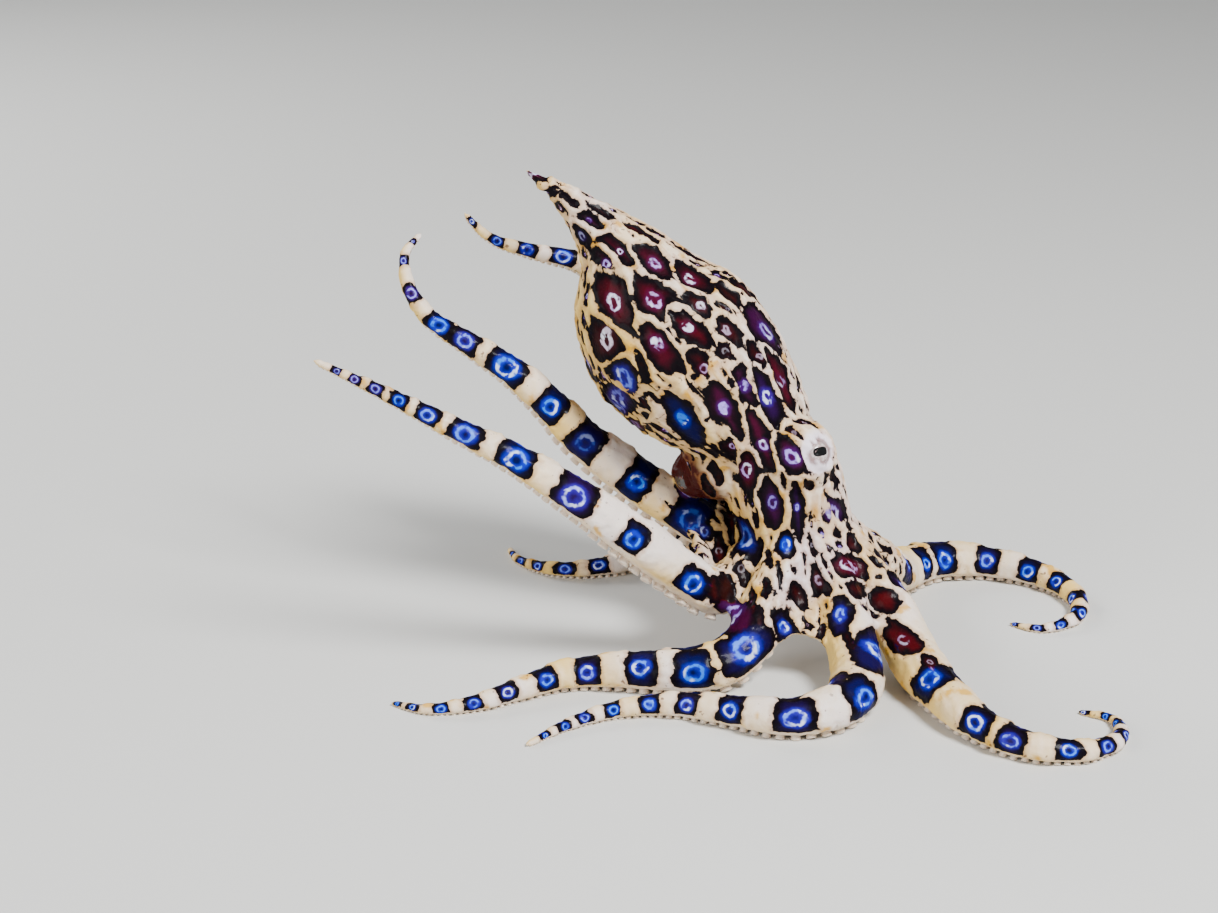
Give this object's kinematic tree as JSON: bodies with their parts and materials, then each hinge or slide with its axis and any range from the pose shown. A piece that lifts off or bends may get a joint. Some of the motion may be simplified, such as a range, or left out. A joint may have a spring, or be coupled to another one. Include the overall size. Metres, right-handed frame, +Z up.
{
  "type": "blue-ringed octopus model",
  "caption": "Still life-size model of a blue-ringed octopus standing on five arms and reaching out with the other three.",
  "frame": {"origin": "on the floor, under the middle of the whole octopus's box", "axes": "+X to the octopus's left, +Y to its belly side, +Z up; its back faces -Y"},
  "size_m": [0.1035, 0.0716, 0.0636],
  "materials": {
    "skin": "wet satin skin, cream with dark blotches and blue rings",
    "eye": "polished, with a black slit pupil"
  },
  "bodies": {
    "root": {"arm_L1_base": "skin", "arm_L1_middle": "skin", "arm_L1_tip": "skin", "arm_L2_base": "skin", "arm_L2_middle": "skin", "arm_L2_tip": "skin", "arm_L3_base": "skin", "arm_L3_middle": "skin", "arm_L3_tip": "skin", "arm_L4_base": "skin", "arm_L4_middle": "skin", "arm_L4_tip": "skin", "arm_R1_base": "skin", "arm_R1_middle": "skin", "arm_R1_tip": "skin", "arm_R2_base": "skin", "arm_R2_middle": "skin", "arm_R2_tip": "skin", "arm_R3_base": "skin", "arm_R3_middle": "skin", "arm_R3_tip": "skin", "arm_R4_base": "skin", "arm_R4_middle": "skin", "arm_R4_tip": "skin", "arm_crown": "skin", "eye_left": "eye", "eye_right": "eye", "funnel": "skin", "head": "skin", "mantle": "skin", "web_L1_L2": "skin", "web_L2_L3": "skin", "web_L3_L4": "skin", "web_L4_R4": "skin", "web_R1_L1": "skin", "web_R2_R1": "skin", "web_R3_R2": "skin", "web_R4_R3": "skin"}
  },
  "joints": []
}
